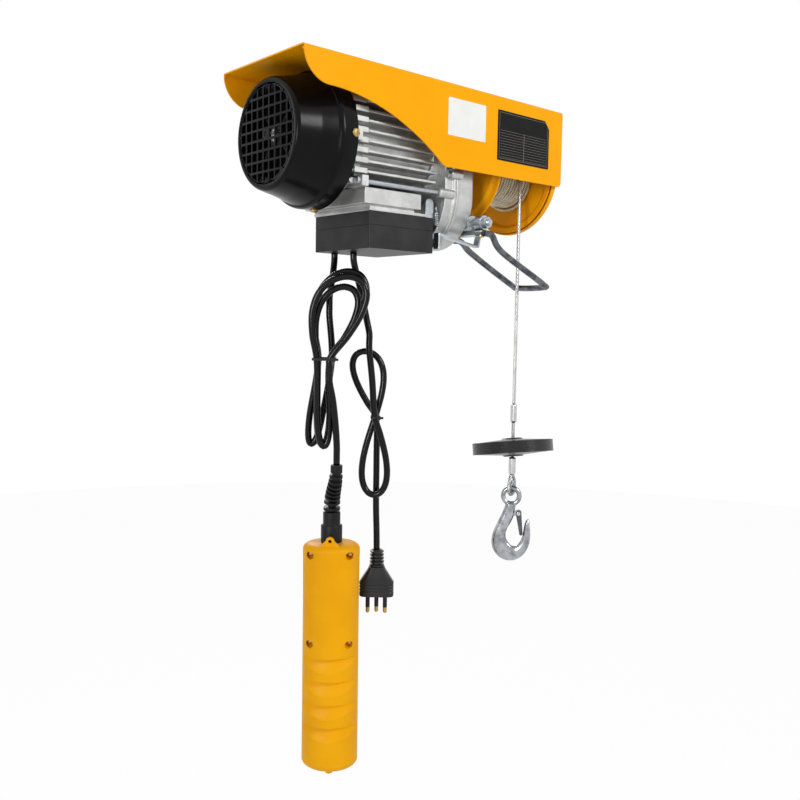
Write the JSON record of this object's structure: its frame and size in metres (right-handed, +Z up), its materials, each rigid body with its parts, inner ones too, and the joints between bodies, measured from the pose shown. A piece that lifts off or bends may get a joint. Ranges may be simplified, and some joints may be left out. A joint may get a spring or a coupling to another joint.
{
  "type": "wire rope hoist",
  "caption": "Small electric hoist with a yellow canopy, finned motor, gearbox, wire rope drum, hook, limit arm, hanging pendant control and mains plug.",
  "frame": {"origin": "centre of the roof's top face", "axes": "+X to the drum end, -Y to the front, +Z up"},
  "size_m": [0.373, 0.1546, 0.727],
  "materials": {
    "yellow_paint": "gloss",
    "cast_aluminium": "matte",
    "dark_steel": "satin",
    "bright_steel": "satin",
    "zinc": "satin",
    "brass": "satin",
    "copper": "satin",
    "black_plastic": "satin",
    "grey_plastic": "satin",
    "rubber": "matte",
    "yellow_plastic": "satin",
    "red_plastic": "satin",
    "green_plastic": "satin"
  },
  "bodies": {
    "frame": {"canopy": "yellow_paint", "drum_end_plate": "yellow_paint", "drum_stub": "dark_steel", "gearbox_cover": "cast_aluminium", "gearbox_housing": "cast_aluminium", "motor_body": "cast_aluminium", "end_bell": "cast_aluminium", "stator_core": "dark_steel", "stator_winding": "copper", "fan_cover": "black_plastic", "cover_screw": "brass", "tie_rod": "bright_steel", "terminal_box": "black_plastic", "terminal_box_lid": "black_plastic", "capacitor": "grey_plastic", "limit_switch": "grey_plastic", "pendant_gland": "rubber", "mains_gland": "rubber", "switch_bracket": "zinc", "brake_magnet": "dark_steel", "rotor_bearing": "bright_steel", "pivot_bolt": "bright_steel", "return_spring": "brass", "pendant_cord_upper": "rubber", "pendant_hank": "rubber", "pendant_cord_lower": "rubber", "pendant_tie": "black_plastic", "handset_strain_relief": "rubber", "handset_back_shell": "yellow_plastic", "handset_front_shell": "yellow_plastic", "mains_cord_upper": "rubber", "mains_hank": "rubber", "mains_cord_tail": "rubber", "mains_tie": "black_plastic", "plug": "rubber"},
    "rotor": {"rotor_shaft": "bright_steel", "rotor_core": "dark_steel", "fan": "black_plastic", "brake_disc": "dark_steel"},
    "layshaft": {"intermediate_gear": "bright_steel"},
    "drum": {"drum": "yellow_paint", "drum_shaft": "bright_steel", "rope_core": "bright_steel", "rope_winding": "bright_steel"},
    "limit_arm": {"limit_lever": "zinc", "bail": "zinc", "striker_strip": "zinc"},
    "plunger": {"switch_plunger": "rubber"},
    "hook_load": {"rope_fall": "bright_steel", "upper_ferrule": "bright_steel", "rope_link": "bright_steel", "stop_disc": "rubber", "lower_ferrule": "bright_steel", "rope_loop": "bright_steel", "thimble": "zinc"},
    "hook": {"hook": "bright_steel"},
    "latch": {"hook_latch": "bright_steel"},
    "up_button": {"up_button": "green_plastic"},
    "down_button": {"down_button": "grey_plastic"},
    "emergency_stop": {"emergency_stop": "red_plastic"}
  },
  "joints": [
    {"name": "drum_spin", "type": "hinge", "parent": "frame", "child": "drum", "pos_m": [0.126, 0, -0.0675], "axis": [1, 0, 0], "range_deg": [-252.11, 17265.14]},
    {"name": "rotor_spin", "type": "hinge", "parent": "frame", "child": "rotor", "pos_m": [-0.05, 0, -0.0675], "axis": [1, 0, 0], "continuous": true},
    {"name": "layshaft_spin", "type": "hinge", "parent": "frame", "child": "layshaft", "pos_m": [0.026, 0, -0.1035], "axis": [1, 0, 0], "continuous": true},
    {"name": "hook_travel", "type": "slide", "parent": "frame", "child": "hook_load", "axis": [0, 0, -1], "range_m": [-0.165, 11.3], "deforming": ["rope_fall"]},
    {"name": "hook_swing", "type": "hinge", "parent": "hook_load", "child": "hook", "pos_m": [0.1453, -0.03775, -0.4432], "axis": [0.766, 0.6428, 0], "range_deg": [-20, 20]},
    {"name": "latch_swing", "type": "hinge", "parent": "hook", "child": "latch", "pos_m": [0.15121, -0.0448, -0.4659], "axis": [0.766, 0.6428, 0], "range_deg": [0, 19], "stiffness_Nm_per_rad": 0.02},
    {"name": "limit_arm_swing", "type": "hinge", "parent": "frame", "child": "limit_arm", "pos_m": [0.062, -0.045, -0.134], "axis": [0, -1, 0], "range_deg": [0, 6], "stiffness_Nm_per_rad": 2},
    {"name": "plunger_slide", "type": "slide", "parent": "frame", "child": "plunger", "axis": [1, 0, 0], "range_m": [0, 0.00221]},
    {"name": "up_button_press", "type": "slide", "parent": "frame", "child": "up_button", "axis": [-0.6674, -0.7447, 0], "range_m": [0, 0.003], "stiffness_N_per_m": 600},
    {"name": "down_button_press", "type": "slide", "parent": "frame", "child": "down_button", "axis": [-0.6674, -0.7447, 0], "range_m": [0, 0.003], "stiffness_N_per_m": 600},
    {"name": "emergency_stop_press", "type": "slide", "parent": "frame", "child": "emergency_stop", "axis": [-0.6674, -0.7447, 0], "range_m": [0, 0.004], "stiffness_N_per_m": 600}
  ],
  "couplings": [
    {"joint": "drum_spin", "follows": "hook_travel", "rad_per_m": 26.667},
    {"joint": "rotor_spin", "follows": "hook_travel", "rad_per_m": 767.16},
    {"joint": "layshaft_spin", "follows": "hook_travel", "rad_per_m": -143.03},
    {"joint": "plunger_slide", "follows": "limit_arm_swing", "m_per_rad": 0.021}
  ]
}
